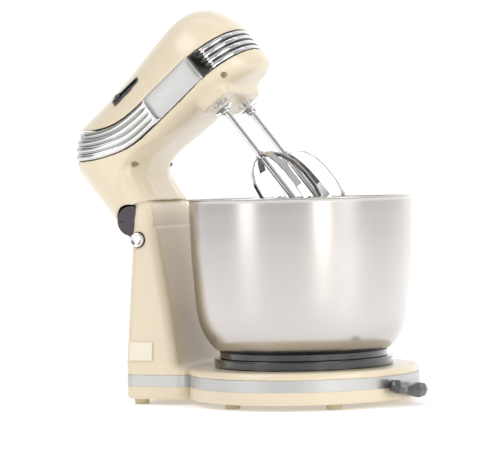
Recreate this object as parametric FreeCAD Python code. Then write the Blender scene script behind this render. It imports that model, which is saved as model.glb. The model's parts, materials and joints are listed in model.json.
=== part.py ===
import FreeCAD, Part

import math
import os

V = FreeCAD.Vector

# ---------------------------------------------------------------------------
# Driving dimensions, in millimetres and degrees.
# The bowl's axis is X = 0 while the pieces are drawn; everything is moved
# forwards by BOWL_X at the end, so that the footprint is centred on the origin.
# +X is the front (nose and lever), +Z is up.
# ---------------------------------------------------------------------------
BOWL_X = 49.0

# base
FOOT_H = 5.0
BAND_LOW = 16.3
BAND_HIGH = 26.3
DECK_TOP = 32.5
DECK_WALL = 3.0
BASE_R = 101.6
BASE_REAR = -150.0
BASE_BLOCK_HALF = 57.0
BASE_BLOCK_FRONT = -87.0
TRIM_T = 1.6
FEET = [(-138.0, 44.0), (-35.0, 76.0), (55.0, 66.0)]
BASE_SCREWS = [(-84.0, 34.0), (20.0, 84.0)]
BASE_SCREW_R = 1.5

# column: (z, rear x, front x, half width)
COLUMN_FOOT = (29.6, -150.0, -97.0, 56.0)
COLUMN_HEAD = (176.0, -144.8, -125.8, 42.0)
COLUMN_WALL = 3.0
COLUMN_CROWN_R = 24.2

# hinge
PIVOT_X = -147.5
PIVOT_Z = 162.2
OPEN_ANGLE = 39.0
PIN_R = 4.0
PIN_HALF = 36.0
BARREL_R = 13.3
BARREL_HALF = 39.5
RUNNING = 0.06
ARM_Y = 22.0
ARM_T = 4.0

# bowl platform, shift lever
PLATFORM_R = 78.8
PLATFORM_LOW = 33.1
PLATFORM_HIGH = 40.5
SHIFT = 6.0
HUB_R = 14.0
LEVER_PIVOT_X = 38.0
LEVER_INNER = 12.0
LEVER_Z = 13.5
LEVER_REST = -22.0

# bowl
BOWL_FOOT_R = 74.0
BOWL_RIM_R = 102.0
BOWL_RIM_Z = 180.5
BOWL_T = 1.0
BOWL_WALL = [(76.0, 47.0), (79.5, 50.5), (84.5, 57.0), (89.6, 66.5), (93.0, 80.0),
             (95.4, 107.0), (97.4, 140.0), (98.2, 170.0), (98.3, 179.0)]

# head, closed
HEAD_WALL = 2.5
HEAD_HALF = 50.5
NOSE_X = 33.0
NOSE_START = -15.0
REAR_X = -167.0
REAR_START = -130.0
HEAD_MID_Z = 225.0
HOOD_FRONT_X = -119.8
BEATER_X = -17.5
BEATER_Y = 27.5
MOTOR_Z = 226.0
WORM_R = 8.0
WHEEL_R = 19.2
WHEEL_TEETH = 36
BEATER_LOW = 57.0
BEATER_R = 24.5

# head profile, closed: x, lowest z, highest z
HEAD_PROFILE = [
    (-166.4, 203.0, 233.0), (-164.6, 197.0, 242.0), (-160.0, 192.0, 251.0), (-152.0, 189.0, 259.6),
    (-142.0, 188.0, 265.2), (-130.0, 189.0, 266.8), (-115.0, 193.0, 267.0), (-100.0, 195.6, 267.8),
    (-70.0, 195.4, 270.8), (-40.0, 194.4, 275.2), (-15.0, 193.2, 278.0),
    (-2.0, 192.6, 277.4), (9.0, 192.2, 274.0), (18.0, 192.0, 267.8), (24.5, 192.4, 259.5),
    (28.8, 193.6, 250.0), (31.4, 196.5, 240.5), (32.6, 201.0, 231.0)]

# lower and upper edges of the trim band, closed: x, z
BAND_EDGE_LOW = [(45.0, 209.5), (0.0, 209.5), (-50.0, 209.2), (-90.0, 209.2), (-108.0, 211.8),
                 (-122.0, 217.0), (-138.0, 225.0), (-155.0, 237.0), (-172.0, 250.5)]
BAND_EDGE_HIGH = [(45.0, 233.0), (0.0, 233.2), (-45.0, 233.4), (-80.0, 233.6), (-96.0, 235.6),
                  (-109.0, 239.8), (-124.0, 248.5), (-140.0, 261.5), (-155.0, 276.0)]
PANEL_FRONT = -8.0
PANEL_REAR = -64.0
RIB_GROOVE = 0.9

# release button
BUTTON_X = -138.9
BUTTON_Z = 145.4
BUTTON_R = 6.5

# screws through the sides of the lower housing: x, z, distance of the seat from the middle
HOUSING_SCREWS = [(5.0, 201.0, 37.4), (-113.0, 199.0, 35.2)]
RECESS_R = 2.6
SCREW_R = 1.3

# speed slider
KNOB_TRAVEL = 20.0
SLOT_X0 = -92.0
SLOT_X1 = -62.0
SLOT_Y = -37.0
SLOT_Z = 254.0
SLOT_TILT = 44.0


# ---------------------------------------------------------------------------
# Small helpers
# ---------------------------------------------------------------------------
def cyl(radius, height, x, y, z, axis=V(0, 0, 1)):
    """Cylinder from its base point along axis."""
    return Part.makeCylinder(radius, height, V(x, y, z), axis)


def tube(outer, inner, height, x, y, z, axis=V(0, 0, 1)):
    """Round tube from its base point along axis."""
    return cyl(outer, height, x, y, z, axis).cut(cyl(inner, height, x, y, z, axis))


def box(x0, x1, y0, y1, z0, z1):
    """Box between two corners."""
    return Part.makeBox(x1 - x0, y1 - y0, z1 - z0, V(x0, y0, z0))


def fuse(first, *others):
    """Union of several shapes with the shared faces merged."""
    return first.fuse(list(others)).removeSplitter()


def mirror_y(shape):
    """The same shape on the other side of the X-Z plane."""
    return shape.mirror(V(0, 0, 0), V(0, 1, 0))


def both_sides(shape):
    """A shape together with its mirror image."""
    return shape.fuse(mirror_y(shape))


def interpolate(table, x):
    """Straight-line interpolation in a list of (x, value) pairs with rising x."""
    if x <= table[0][0]:
        return table[0][1]
    for (x0, v0), (x1, v1) in zip(table, table[1:]):
        if x <= x1:
            return v0 + (v1 - v0) * (x - x0) / (x1 - x0)
    return table[-1][1]


def xz_prism(points, half_width):
    """Closed polygon in the X-Z plane, extruded to both sides of it."""
    corners = [V(x, -half_width, z) for x, z in points]
    face = Part.Face(Part.makePolygon(corners + corners[:1]))
    return face.extrude(V(0, 2 * half_width, 0))


def revolve(points):
    """Closed polygon of (radius, z) pairs turned about the Z axis."""
    corners = [V(r, 0, z) for r, z in points]
    face = Part.Face(Part.makePolygon(corners + corners[:1]))
    return face.revolve(V(0, 0, 0), V(0, 0, 1), 360)


# ---------------------------------------------------------------------------
# Base
# ---------------------------------------------------------------------------
def rounded_block(x0, x1, half, radius, z, height):
    """Upright block with rounded vertical corners."""
    block = box(x0, x1, -half, half, z, z + height)
    upright = [e for e in block.Edges
               if abs(e.Vertexes[0].Z - e.Vertexes[1].Z) > height / 2]
    return block.makeFillet(radius, upright)


def base_plan(inset, z, height):
    """Plan of the base: a round front part and a rear block, extruded."""
    front = cyl(BASE_R - inset, height, 0, 0, z)
    rear = rounded_block(BASE_REAR + inset, BASE_BLOCK_FRONT - inset,
                         BASE_BLOCK_HALF - inset, 11.0 - inset * 0.5, z, height)
    return fuse(front, rear)


def edges_at(shape, z):
    """Edges that lie in the level plane z."""
    return [e for e in shape.Edges
            if all(abs(v.Z - z) < 1e-4 for v in e.Vertexes)
            and abs(e.CenterOfMass.z - z) < 1e-4]


def make_bottom_cover():
    body = base_plan(0, FOOT_H, BAND_LOW - FOOT_H - 0.1)
    body = body.makeFillet(3.0, edges_at(body, FOOT_H))
    body = body.cut(base_plan(2.5, FOOT_H + 2.5, 20))
    for x, y in BASE_SCREWS:
        for side in (-1, 1):
            body = body.cut(cyl(3.8, 2.0, x, side * y, FOOT_H - 0.1))
            body = body.cut(cyl(BASE_SCREW_R + 0.3, 6, x, side * y, FOOT_H - 1))
    slot = box(88, 110, -32.0, 15.0, LEVER_Z - 2.3, LEVER_Z + 2.3)
    body = body.cut(slot)
    ring = tube(6.5, 4.2, 2.0, LEVER_PIVOT_X, 0, FOOT_H + 2.4)
    return fuse(body, ring)


def make_base_band():
    return base_plan(0, BAND_LOW, BAND_HIGH - BAND_LOW).cut(
        base_plan(TRIM_T, BAND_LOW - 1, 20))


def column_loft(inset):
    """Tapered slab of the column, inset all round by a wall."""
    wires = []
    for z, x0, x1, half in (COLUMN_FOOT, COLUMN_HEAD):
        r = 7.0 - inset * 0.8
        blk = rounded_block(x0 + inset, x1 - inset, half - inset, r, z, 1.0)
        wires.append(Part.Wire(Part.__sortEdges__(edges_at(blk, z))))
    return Part.makeLoft(wires, True, True)


def make_base_shell():
    """Deck, skirt and hollow column in one moulding."""
    deck = base_plan(0, BAND_HIGH, DECK_TOP - BAND_HIGH)
    deck = deck.makeFillet(4.5, edges_at(deck, DECK_TOP))
    deck = deck.cut(base_plan(3.2, BAND_HIGH - 1, DECK_TOP - DECK_WALL - BAND_HIGH + 1))
    skirt = base_plan(TRIM_T + 0.1, BAND_LOW, BAND_HIGH - BAND_LOW).cut(
        base_plan(3.9, BAND_LOW - 1, 20))
    joint_rim = base_plan(TRIM_T + 0.1, BAND_HIGH, 1.5).cut(base_plan(3.9, BAND_HIGH - 1, 4))

    column = column_loft(0)
    # the crown stays inside a cylinder round the hinge, so the hood can pass
    crown = cyl(COLUMN_CROWN_R, 200, PIVOT_X, -100, PIVOT_Z, V(0, 1, 0))
    keep = fuse(box(-200, 0, -100, 100, 0, 156), crown)
    column = column.common(keep)
    inner = column_loft(COLUMN_WALL)
    inner = inner.common(box(-200, 0, -100, 100, 0, 171))
    shell = fuse(deck, skirt, joint_rim, column)
    shell = shell.cut(inner)
    shell = shell.cut(box(-143, -103, -50, 50, DECK_TOP - 5, DECK_TOP + 1))
    # release button hole, with its guide behind the wall
    guide = tube(BUTTON_R + 2.3, BUTTON_R + 0.35, 5.0, BUTTON_X + 0.6, -43.6, BUTTON_Z, V(0, 1, 0))
    shell = fuse(shell, guide.common(inner))
    shell = shell.cut(cyl(BUTTON_R + 0.35, 16, BUTTON_X + 0.6, -52, BUTTON_Z, V(0, 1, 0)))
    # seat for the hinge barrel in the rear of the column
    shell = shell.cut(cyl(BARREL_R + 0.8, 2 * BARREL_HALF + 1.0,
                          PIVOT_X, -BARREL_HALF - 0.5, PIVOT_Z, V(0, 1, 0)))
    # slot for the platform hub
    shell = shell.cut(box(-HUB_R - 1, HUB_R + 1, -SHIFT - 1, SHIFT + 1, 20, 40))
    for side in (-1, 1):
        shell = shell.cut(cyl(HUB_R + 1, 20, 0, side * (SHIFT + 1), 20))
    # screw bosses and the lever's pivot post
    for x, y in BASE_SCREWS:
        for side in (-1, 1):
            shell = shell.fuse(tube(4.5, BASE_SCREW_R + 0.1, 22.5, x, side * y, 7.6))
    post = cyl(4.0, 22.5, LEVER_PIVOT_X, 0, 7.6)
    # hole for the cord inlet
    shell = fuse(shell, post).cut(cyl(6.0, 12, -156, 0, 48, V(1, 0, 0)))
    return shell


def make_feet():
    feet = []
    for x, y in FEET:
        for side in (-1, 1):
            foot = Part.makeCone(6.0, 7.0, FOOT_H, V(x, side * y, 0))
            feet.append(foot)
    return Part.makeCompound(feet)


def make_base_screws():
    screws = []
    for x, y in BASE_SCREWS:
        for side in (-1, 1):
            head = cyl(3.4, 1.6, x, side * y, FOOT_H + 0.2)
            shank = cyl(BASE_SCREW_R, 14, x, side * y, FOOT_H + 0.3)
            screws.append(fuse(head, shank))
    return Part.makeCompound(screws)


def make_cord_inlet():
    """Short gland for the mains lead, in the rear of the column."""
    flange = tube(8.0, 3.2, 2.5, -152.4, 0, 48, V(1, 0, 0))
    nose = tube(5.0, 3.2, 5.0, -157.2, 0, 48, V(1, 0, 0))
    neck = tube(5.8, 3.2, 6.0, -150.2, 0, 48, V(1, 0, 0))
    return fuse(flange, nose, neck)


def make_badge():
    """Blank raised plate on the near side of the column, leaning with the wall."""
    plate = box(-143.5, -121.5, -2.6, 0.0, 0, 16)
    plate = plate.makeFillet(1.0, [e for e in plate.Edges if e.BoundBox.YLength > 2])
    lean = math.degrees(math.atan2(COLUMN_FOOT[3] - COLUMN_HEAD[3], COLUMN_HEAD[0] - COLUMN_FOOT[0]))
    plate.rotate(V(0, 0, 0), V(1, 0, 0), -lean)
    half = COLUMN_FOOT[3] - (39.0 - COLUMN_FOOT[0]) * math.tan(math.radians(lean))
    plate.translate(V(0, -half + 0.9, 39.0))
    return plate.cut(column_loft(0))


def make_hinge_bracket():
    """Two steel arms that hold the hinge pin, on a plate inside the column."""
    arms = []
    for side in (-1, 1):
        y = side * ARM_Y
        eye = cyl(7.5, ARM_T, PIVOT_X, y - ARM_T / 2, PIVOT_Z, V(0, 1, 0))
        leg = box(PIVOT_X, -129.5, y - ARM_T / 2, y + ARM_T / 2, PIVOT_Z - 7.5, PIVOT_Z + 6.0)
        arms.append(eye.fuse(leg).removeSplitter())
    plate = box(-132.0, -129.5, -34, 34, PIVOT_Z - 13.0, PIVOT_Z + 6.0)
    bracket = fuse(plate, *arms)
    return bracket.cut(cyl(PIN_R, 100, PIVOT_X, -50, PIVOT_Z, V(0, 1, 0)))


def make_hinge_pin():
    return cyl(PIN_R, 2 * PIN_HALF, PIVOT_X, -PIN_HALF, PIVOT_Z, V(0, 1, 0))


# ---------------------------------------------------------------------------
# Release button
# ---------------------------------------------------------------------------
def make_button():
    x = BUTTON_X + 0.6
    cap = cyl(BUTTON_R, 5.9, x, -48.6, BUTTON_Z, V(0, 1, 0))
    return cap.makeFillet(1.2, [e for e in cap.Edges if abs(e.CenterOfMass.y + 48.6) < 0.01])


def make_latch():
    """Latch bar on the button, with a finger beside the hinge barrel."""
    x = BUTTON_X + 0.6
    bar = cyl(2.4, 34.7, x, -42.7, BUTTON_Z, V(0, 1, 0))
    finger = box(x - 2.4, x + 2.0, -31.0, -24.0, BUTTON_Z - 2.0, BUTTON_Z + 3.6)
    collar = cyl(4.2, 1.6, x, -22.0, BUTTON_Z, V(0, 1, 0))
    return fuse(bar, finger, collar)


def make_spring_stop():
    """Wall in the column that the button's spring pushes against."""
    x = BUTTON_X + 0.6
    plate = box(x - 5.2, -129.0, -4.5, -2.5, BUTTON_Z - 6, BUTTON_Z + 3)
    return plate


def coil(radius, wire, pitch, height, x, y, z):
    """Helical spring along +Y."""
    helix = Part.makeHelix(pitch, height, radius)
    start = Part.Wire(Part.makeCircle(wire, V(radius, 0, 0), V(0, 1, 0)))
    spring = Part.Wire(helix).makePipeShell([start], True, True)
    spring.rotate(V(0, 0, 0), V(1, 0, 0), -90)
    spring.translate(V(x, y, z))
    return spring


# ---------------------------------------------------------------------------
# Bowl platform and shift lever
# ---------------------------------------------------------------------------
def make_platform():
    disc = cyl(PLATFORM_R, PLATFORM_HIGH - PLATFORM_LOW, 0, 0, PLATFORM_LOW)
    disc = disc.makeFillet(1.2, edges_at(disc, PLATFORM_HIGH))
    disc = disc.cut(tube(PLATFORM_R - 3, 20, 4.6, 0, 0, PLATFORM_LOW - 0.1))
    boss = cyl(60.0, 2.6, 0, 0, PLATFORM_HIGH - 0.1)
    hub = cyl(HUB_R, 5.0, 0, 0, 28.9)
    parts = [disc, boss, hub]
    for k in range(3):
        lug = tube(66.0, 59.5, 1.4, 0, 0, 41.7).common(sector(66.5, 24, 120 * k, 41, 44))
        parts.append(lug)
    body = fuse(*parts)
    for x, y in retainer_places():
        body = body.cut(cyl(1.33, 4.0, x, y, 28.8))
    return body


def retainer_places():
    """Plan positions of the three screws between the retainer and the hub."""
    return [(8 * math.cos(a), 8 * math.sin(a)) for a in (math.radians(120 * k + 60) for k in range(3))]


def sector(radius, width, middle, z0, z1):
    """Wedge about the Z axis, width and middle in degrees."""
    wedge = cyl(radius, z1 - z0, 0, 0, z0)
    piece = Part.makeCylinder(radius, z1 - z0, V(0, 0, z0), V(0, 0, 1), width)
    piece.rotate(V(0, 0, 0), V(0, 0, 1), middle - width / 2)
    return wedge.common(piece)


def make_grip_band():
    """Raised ribbed strip round the front of the platform's edge."""
    ring = tube(PLATFORM_R + 1.6, PLATFORM_R, 5.0, 0, 0, 34.0)
    return ring.common(sector(PLATFORM_R + 3, 76, -78, 33, 40))


def make_retainer():
    """Plate under the deck that holds the platform down and carries the lever's slot."""
    pin_x, pin_y = lever_point(-LEVER_INNER)
    plate = cyl(24.0, 2.6, 0, 0, 26.2)
    tab = box(10, pin_x + 5.0, pin_y - 8, pin_y + 8, 26.2, 28.8)
    body = fuse(plate, tab)
    slot = box(pin_x - 4.6, pin_x + 3.4, pin_y - 3.3, pin_y + 3.3, 26, 29)
    for x, y in retainer_places():
        body = body.cut(cyl(1.4, 4.0, x, y, 25.8))
    return body.cut(slot)


def make_retainer_screws():
    screws = []
    for x, y in retainer_places():
        screws.append(fuse(cyl(2.6, 1.4, x, y, 24.8), cyl(1.3, 7, x, y, 25.5)))
    return Part.makeCompound(screws)


def lever_point(along, aside=0.0):
    """Plan position of a point on the lever at rest, measured from its pivot."""
    a = math.radians(LEVER_REST)
    return (LEVER_PIVOT_X + along * math.cos(a) - aside * math.sin(a),
            along * math.sin(a) + aside * math.cos(a))


def make_lever_arm():
    """Flat lever in the base: pin at the inner end, stem out of the front."""
    hub = cyl(8.0, 4.0, 0, 0, LEVER_Z - 2)
    inner = box(-LEVER_INNER, 0, -3.4, 3.4, LEVER_Z - 2, LEVER_Z + 2)
    pin = cyl(3.0, 17.0, -LEVER_INNER, 0, LEVER_Z - 2)
    stem = box(0, 70.5, -3.0, 3.0, LEVER_Z - 1.5, LEVER_Z + 1.5)
    body = fuse(hub, inner, pin, stem).cut(cyl(4.06, 40, 0, 0, 0))
    body.rotate(V(0, 0, 0), V(0, 0, 1), LEVER_REST)
    body.translate(V(LEVER_PIVOT_X, 0, 0))
    return body


def lobe(start, end, wide, root):
    """Faceted finger lobe: narrow at its start, wide beyond the middle, blunt at its end."""
    along = end.sub(start)
    length = along.Length
    wires = []
    for t, size in ((0.0, root), (0.45, wide * 0.92), (0.68, wide), (0.9, wide * 0.8), (1.0, wide * 0.45)):
        ring = []
        for k in range(8):
            a = math.radians(45 * k + 22.5)
            ring.append(V(t * length, size * 0.62 * math.cos(a), size * math.sin(a)))
        wires.append(Part.makePolygon(ring + ring[:1]))
    body = Part.makeLoft(wires, True, True)
    body.rotate(V(0, 0, 0), V(0, 1, 0), -math.degrees(math.asin(along.z / length)))
    body.rotate(V(0, 0, 0), V(0, 0, 1), math.degrees(math.atan2(along.y, along.x)))
    body.translate(start)
    return body


def make_lever_handle():
    """Two finger lobes on either side of the stem."""
    waist = V(104.8, -26.4, LEVER_Z)
    near = lobe(V(105.2, -23.0, LEVER_Z - 0.4), V(98.8, -46.0, LEVER_Z + 6.6), 5.6, 2.6)
    front = lobe(V(104.2, -29.0, LEVER_Z + 0.6), V(111.4, 9.0, LEVER_Z - 1.6), 6.4, 2.6)
    core = Part.makeSphere(4.6, waist)
    body = near.fuse([front, core])
    x, y = lever_point(70.5)
    socket = box(50, 70.8, -3.0, 3.0, LEVER_Z - 1.5, LEVER_Z + 1.5)
    socket.rotate(V(0, 0, 0), V(0, 0, 1), LEVER_REST)
    socket.translate(V(LEVER_PIVOT_X, 0, 0))
    return body.cut(socket)


# ---------------------------------------------------------------------------
# Bowl
# ---------------------------------------------------------------------------
def make_bowl():
    z0 = 46.0
    outer = [(0, z0), (72.0, z0)] + BOWL_WALL + [(BOWL_RIM_R - 0.4, BOWL_RIM_Z - 1.2),
                                                 (BOWL_RIM_R, BOWL_RIM_Z - 0.6),
                                                 (BOWL_RIM_R - 0.4, BOWL_RIM_Z)]
    inner = [(r - BOWL_T, z + 0.4) for r, z in BOWL_WALL[:-1]]
    inner = [(0, z0 + BOWL_T), (71.6, z0 + BOWL_T)] + inner + [(97.3, BOWL_RIM_Z)]
    return revolve(outer + inner[::-1])


def make_bowl_foot():
    """Black foot ring of the bowl with three bayonet hooks."""
    ring = tube(BOWL_FOOT_R, 68.0, 4.9, 0, 0, 41.0)
    top = tube(BOWL_FOOT_R, 64.0, 1.4, 0, 0, 44.5)
    parts = [ring, top]
    for k in range(3):
        hook = tube(69.0, 61.5, 0.5, 0, 0, 40.9).common(
            sector(69.5, 16, 120 * k, 40.5, 42))
        parts.append(hook)
    return fuse(*parts)


# ---------------------------------------------------------------------------
# Head: outer form, drawn closed
# ---------------------------------------------------------------------------
def plan_half(x):
    """Half width of the head's plan at x."""
    if x > NOSE_START:
        t = min((x - NOSE_START) / (NOSE_X - NOSE_START), 0.9995)
        return HEAD_HALF * math.sqrt(1 - t * t)
    if x < REAR_START:
        t = min((REAR_START - x) / (REAR_START - REAR_X), 0.9995)
        return 47.0 * (1 - t ** 2.6) ** (1 / 2.6)
    return 47.0 + (HEAD_HALF - 47.0) * (x - REAR_START) / (NOSE_START - REAR_START)


def head_section(x, low, high, half):
    """Closed spline round the head at one x: round above, squarer below."""
    points = []
    mid = min(HEAD_MID_Z, low + 0.55 * (high - low))
    count = 20
    for k in range(count):
        a = 2 * math.pi * k / count
        c, s = math.cos(a), math.sin(a)
        power = 2.0 if s >= 0 else 3.4
        y = half * math.copysign(abs(c) ** (2 / power), c)
        reach = (high - mid) if s >= 0 else (mid - low)
        z = mid + reach * math.copysign(abs(s) ** (2 / power), s)
        points.append(V(x, y, z))
    curve = Part.BSplineCurve()
    curve.interpolate(points, True)
    return Part.Wire(curve.toShape())


def head_form(inset):
    """The head's outer form, or the same form a wall thickness further in."""
    wires = []
    for x, low, high in HEAD_PROFILE:
        half = plan_half(x)
        shift = inset * (1 - 2 * (x - REAR_X) / (NOSE_X - REAR_X))
        room = min(half, (high - low) / 2)
        cut = inset * min(1.0, room / 12.0)
        wires.append(head_section(x + shift, low + cut, high - cut, half - cut))
    return Part.makeLoft(wires, True, False)


def hood_prism(inset, low, high):
    """Neck hood: the head's rear plan carried straight down."""
    front = HOOD_FRONT_X - inset
    corner = 9.0 - inset
    side = [(front, corner), (front - corner * 0.3, corner * 0.3), (front - corner, 0.0)]
    near = [(x, plan_half(x) - 1.0 - inset - back) for x, back in side]
    for x in (-138.0, -146.0, -152.0, -157.0, -161.0, -163.6, -165.2, -166.0):
        near.append((x + inset, plan_half(x) - 1.0 - inset))
    corners = [V(x, -y, low) for x, y in near] + [V(x, y, low) for x, y in reversed(near)]
    return Part.Face(Part.makePolygon(corners + corners[:1])).extrude(V(0, 0, high - low))


def spline_region(points, top):
    """Everything between an edge curve and a level, across the whole head."""
    curve = Part.BSplineCurve()
    curve.interpolate([V(x, -70, z) for x, z in points])
    first, last = points[0], points[-1]
    closing = Part.makePolygon([V(last[0], -70, last[1]), V(last[0], -70, top),
                                V(first[0], -70, top), V(first[0], -70, first[1])])
    wire = Part.Wire(Part.__sortEdges__([curve.toShape()] + closing.Edges))
    return Part.Face(wire).extrude(V(0, 140, 0))


def edge_between(t):
    """Curve part way between the trim band's lower and upper edges."""
    return [(a[0] + (b[0] - a[0]) * t, a[1] + (b[1] - a[1]) * t)
            for a, b in zip(BAND_EDGE_LOW, BAND_EDGE_HIGH)]


# ---------------------------------------------------------------------------
# Head: housings and trim, drawn closed
# ---------------------------------------------------------------------------
def hood_solid(inset):
    """Hood and the lip round the hinge barrel, before the opening is cut."""
    prism = hood_prism(inset, PIVOT_Z - 20, 206.0)
    lip_half = 36.0 - inset
    lip = cyl(18.5 - inset, 2 * lip_half, PIVOT_X, -lip_half, PIVOT_Z, V(0, 1, 0))
    above = box(-200, 0, -60, 60, PIVOT_Z, 230)
    return prism.common(fuse(above, cyl(18.5 - inset, 120, PIVOT_X, -60, PIVOT_Z, V(0, 1, 0))))


def hood_opening():
    """Room below the hood's edge for the column and the hinge barrel."""
    edge = xz_prism([(PIVOT_X, PIVOT_Z), (-136.4, 170.5), (-114.0, 160.0), (-95.0, 152.0),
                     (-95.0, 120.0), (-172.0, 120.0), (-170.8, 135.4)], 70)
    return edge.fuse(cyl(14.8, 140, PIVOT_X, -70, PIVOT_Z, V(0, 1, 0)))


def slider_frame(shape):
    """Carry a shape from the slot's own frame (z outwards, x along) into place."""
    shape.rotate(V(0, 0, 0), V(1, 0, 0), SLOT_TILT)
    shape.translate(V((SLOT_X0 + SLOT_X1) / 2, SLOT_Y, SLOT_Z))
    return shape


def obround(length, width, z, height):
    """Bar with round ends, along X, centred on the origin."""
    straight = (length - width) / 2
    bar = box(-straight, straight, -width / 2, width / 2, z, z + height)
    return fuse(bar, cyl(width / 2, height, -straight, 0, z), cyl(width / 2, height, straight, 0, z))


def make_head_shells(outer, inner):
    """Lower housing, upper housing and the four pieces of the trim band."""
    shell = outer.cut(inner)
    below_high = spline_region(BAND_EDGE_HIGH, 100)
    above_low = spline_region(BAND_EDGE_LOW, 320)
    above_high = spline_region(BAND_EDGE_HIGH, 320)
    below_low = spline_region(BAND_EDGE_LOW, 100)

    hood = hood_solid(0).cut(hood_solid(HEAD_WALL))
    hood = hood.cut(inner)
    lower = shell.common(below_low).fuse(hood)
    lower = lower.cut(hood_opening())
    lower = lower.cut(hood_solid(HEAD_WALL).cut(box(-200, 0, -60, 60, 189, 260)))
    upper = shell.common(above_high)
    band = shell.common(above_low).common(below_high)

    # grooves between the ribs of the chrome pieces
    skin = outer.cut(head_form(RIB_GROOVE))
    for t in (0.25, 0.5, 0.75):
        z = BAND_EDGE_LOW[0][1] + t * (BAND_EDGE_HIGH[0][1] - BAND_EDGE_LOW[0][1])
        band = band.cut(box(PANEL_FRONT, 60, -90, 90, z - 0.8, z + 0.8).common(skin))
        bend, tail = edge_between(t)[4], edge_between(t)[8]
        path = [(PANEL_REAR, z + 0.5), (bend[0] + 4, z + 0.5), tail]
        rear_slab = xz_prism([(x, h - 0.8) for x, h in path] + [(x, h + 0.8) for x, h in path[::-1]], 90)
        band = band.cut(rear_slab.common(skin))
    front = band.common(box(PANEL_FRONT + 0.2, 60, -90, 90, 150, 320))
    rear = band.common(box(-200, PANEL_REAR - 0.2, -90, 90, 150, 320))
    middle = band.common(box(PANEL_REAR, PANEL_FRONT, -90, 90, 150, 320))
    near = middle.common(box(-200, 60, -90, 0, 150, 320))
    far = middle.common(box(-200, 60, 0, 90, 150, 320))
    return lower, upper, front, rear, near, far


def spindle_places():
    return [(BEATER_X, -BEATER_Y), (BEATER_X, BEATER_Y)]


def boss_block():
    """Raised pad under the nose with the two beater holes."""
    pad = box(BEATER_X - 17, BEATER_X + 17, -BEATER_Y - 13, BEATER_Y + 13, 188.0, 198.0)
    upright = [e for e in pad.Edges if e.BoundBox.ZLength > 9]
    return pad.makeFillet(12.0, upright)


def finish_lower(lower, small):
    """Beater holes, screw bosses and the passage for the neck bracket."""
    lower = lower.fuse(boss_block())
    for x, y in spindle_places():
        lower = lower.cut(cyl(9.9, 12, x, y, 187.0))
    # way through the head's floor for the web of the neck bracket
    lower = lower.cut(box(-160.4, -151.6, -28, 28, 150, 197))
    for x, z, seat in HOUSING_SCREWS:
        for side in (-1, 1):
            inward = V(0, -side, 0)
            boss = cyl(4.6, 13.6, x, side * (seat + 12), z, inward).common(small)
            lower = lower.fuse(boss)
            lower = lower.cut(cyl(RECESS_R, 14, x, side * (seat + 14), z, inward))
    return lower.cut(screw_bores())


def screw_bores():
    """Holes for the shanks of the housing screws."""
    bores = []
    for x, z, seat in HOUSING_SCREWS:
        for side in (-1, 1):
            bores.append(cyl(SCREW_R + 0.06, 12, x, side * (seat + 1), z, V(0, -side, 0)))
    return Part.makeCompound(bores)


def make_housing_screws():
    screws = []
    for x, z, seat in HOUSING_SCREWS:
        for side in (-1, 1):
            inward = V(0, -side, 0)
            head = cyl(RECESS_R - 0.3, 1.3, x, side * (seat + 1.3), z, inward)
            shank = cyl(SCREW_R, 9.5, x, side * (seat + 0.2), z, inward)
            screws.append(fuse(head, shank))
    return Part.makeCompound(screws)


# ---------------------------------------------------------------------------
# Head: drive, drawn closed
# ---------------------------------------------------------------------------
AXIS = V(1, 0, 0)


def make_gear_frame(room):
    """Cast frame: floor and roof round the worm wheels, end walls for the worm."""
    floor = box(-48, 4, -38, 38, 199.0, 203.0)
    roof = box(-48, 2, -36, 36, 236.0, 239.5)
    rear = box(-48, -44, -36, 36, 199.0, 239.5)
    nose = box(6.2, 10.2, -9, 9, 199.0, 234.0)
    toe = box(-2, 10.2, -9, 9, 199.0, 203.0)
    lugs = both_sides(box(0.5, 9.5, 28.0, 35.5, 197.5, 205.0))
    body = fuse(floor, roof, rear, nose, toe).fuse(lugs).common(room)
    for x, y in spindle_places():
        body = body.cut(cyl(7.5, 60, x, y, 190))
    for side in (-1, 1):
        body = body.cut(cyl(4.9, 12, HOUSING_SCREWS[0][0], side * 47.5, HOUSING_SCREWS[0][1], V(0, -side, 0)))
    body = body.cut(screw_bores())
    body = body.cut(cyl(6.0, 80, -60, 0, MOTOR_Z, AXIS))
    return body


def make_spindle_bushes():
    rings = []
    for x, y in spindle_places():
        rings.append(tube(7.4, 6.06, 6.0, x, y, 198.4))
        rings.append(tube(7.4, 6.06, 4.5, x, y, 235.4))
    return Part.makeCompound(rings)


def make_shaft_bushes():
    rings = [tube(5.9, 3.06, 4.0, x, 0, MOTOR_Z, AXIS) for x in (-48.0, 6.2, -153.5)]
    return Part.makeCompound(rings)


def make_rear_bearing_arm():
    """Upright plate that carries the motor's rear bush."""
    plate = box(-153.5, -149.5, -11, 11, 199.2, 238.0)
    foot = box(-153.5, -140.0, -11, 11, 199.2, 202.0)
    return fuse(plate, foot).cut(cyl(6.0, 20, -160, 0, MOTOR_Z, AXIS))


def make_stator():
    """Laminated field with two salient poles, wound with two coils."""
    ring = tube(25.0, 19.6, 30.0, -124, 0, MOTOR_Z, AXIS)
    poles = tube(20.0, 15.2, 30.0, -124, 0, MOTOR_Z, AXIS)
    keep = box(-125, -93, -12, 12, MOTOR_Z - 30, MOTOR_Z + 30)
    return fuse(ring, poles.common(keep))


def make_field_coils():
    coils = []
    for side in (-1, 1):
        block = tube(19.2, 15.6, 36.0, -127, 0, MOTOR_Z, AXIS)
        wedge = box(-130, -85, -40, 40, 0, 400).common(
            box(-130, -85, 12.6, 40, MOTOR_Z - 14, MOTOR_Z + 14))
        piece = block.common(wedge)
        coils.append(piece if side > 0 else mirror_y(piece))
    return Part.makeCompound(coils)


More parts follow.
